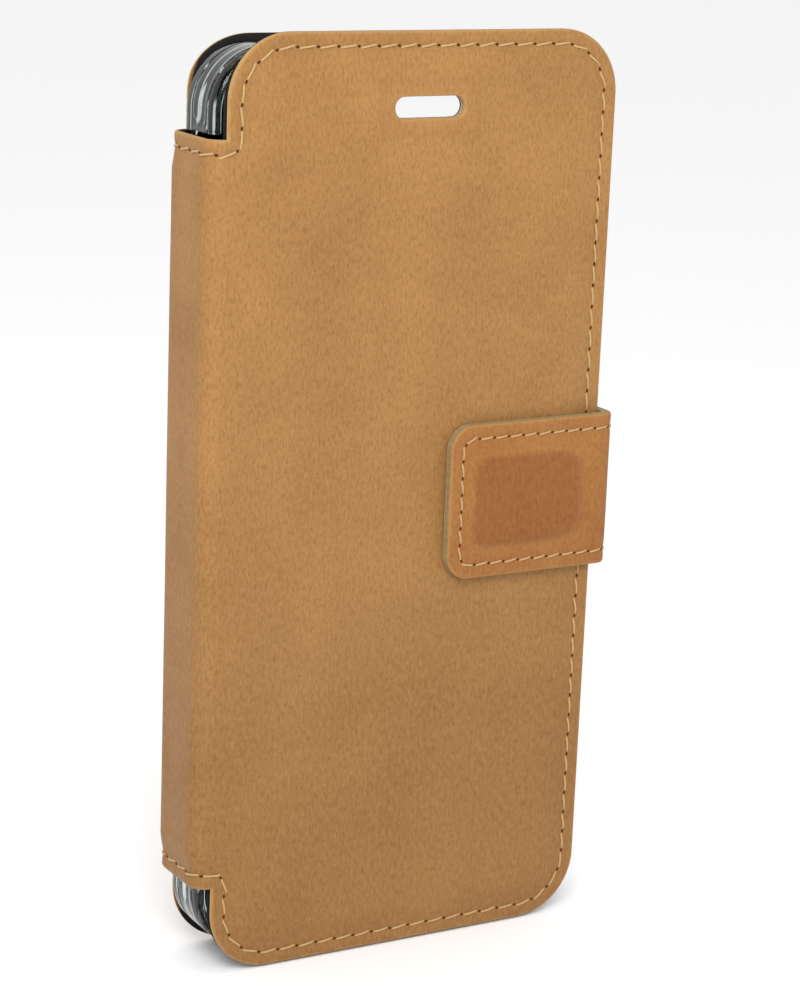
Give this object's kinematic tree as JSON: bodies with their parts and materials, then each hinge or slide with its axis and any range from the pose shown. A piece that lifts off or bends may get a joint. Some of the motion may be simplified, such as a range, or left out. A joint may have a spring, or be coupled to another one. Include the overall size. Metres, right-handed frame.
{
  "type": "phone wallet case",
  "caption": "Folding tan leather phone case: stitched cover and spine, clear inner tray, card pockets and a magnetic closing strap.",
  "frame": {"origin": "centre of the case's box at its lower edge, where it stands", "axes": "+Z along the case's length towards the earpiece end, +X towards the strap, -Y towards the front cover"},
  "size_m": [0.072, 0.017, 0.1449],
  "materials": {
    "tan_leather": "satin",
    "strap_leather": "satin",
    "pocket_leather": "satin",
    "lining": "matte",
    "strap_lining": "matte",
    "board": "matte",
    "clear_shell": "gloss",
    "pad": "matte",
    "thread": "matte",
    "steel": "satin",
    "magnet": "satin"
  },
  "bodies": {
    "back": {"back_leather": "tan_leather", "back_board": "board", "back_lining": "lining", "tray_pad": "pad", "phone_tray": "clear_shell", "strap_root": "strap_leather", "back_stitching": "thread"},
    "spine": {"spine_leather": "tan_leather", "spine_board": "board", "spine_lining": "lining", "spine_stitching": "thread"},
    "front_cover": {"front_leather": "tan_leather", "front_board": "board", "front_lining": "lining", "closing_plate": "steel", "money_pocket": "pocket_leather", "card_slot_top": "pocket_leather", "card_slot_middle": "pocket_leather", "card_slot_bottom": "pocket_leather", "pocket_stitching": "thread", "front_stitching": "thread"},
    "strap": {"strap_side_leather": "strap_leather", "strap_side_lining": "strap_lining", "strap_side_stitching": "thread"},
    "strap_tongue": {"strap_tongue_leather": "strap_leather", "strap_tongue_lining": "strap_lining", "strap_magnet": "magnet", "strap_tongue_stitching": "thread"}
  },
  "joints": [
    {"name": "spine_fold", "type": "hinge", "parent": "back", "child": "spine", "pos_m": [-0.03511, 0.00759, 0], "axis": [0, 0, -1], "range_deg": [0, 180]},
    {"name": "cover_fold", "type": "hinge", "parent": "spine", "child": "front_cover", "pos_m": [-0.03511, -0.00529, 0], "axis": [0, 0, -1], "range_deg": [0, 180]},
    {"name": "strap_fold", "type": "hinge", "parent": "back", "child": "strap", "pos_m": [0.03546, 0.00704, 0.07245], "axis": [0, 0, 1], "range_deg": [0, 150]},
    {"name": "tongue_fold", "type": "hinge", "parent": "strap", "child": "strap_tongue", "pos_m": [0.03541, -0.00748, 0.07245], "axis": [0, 0, 1], "range_deg": [0, 90]}
  ]
}
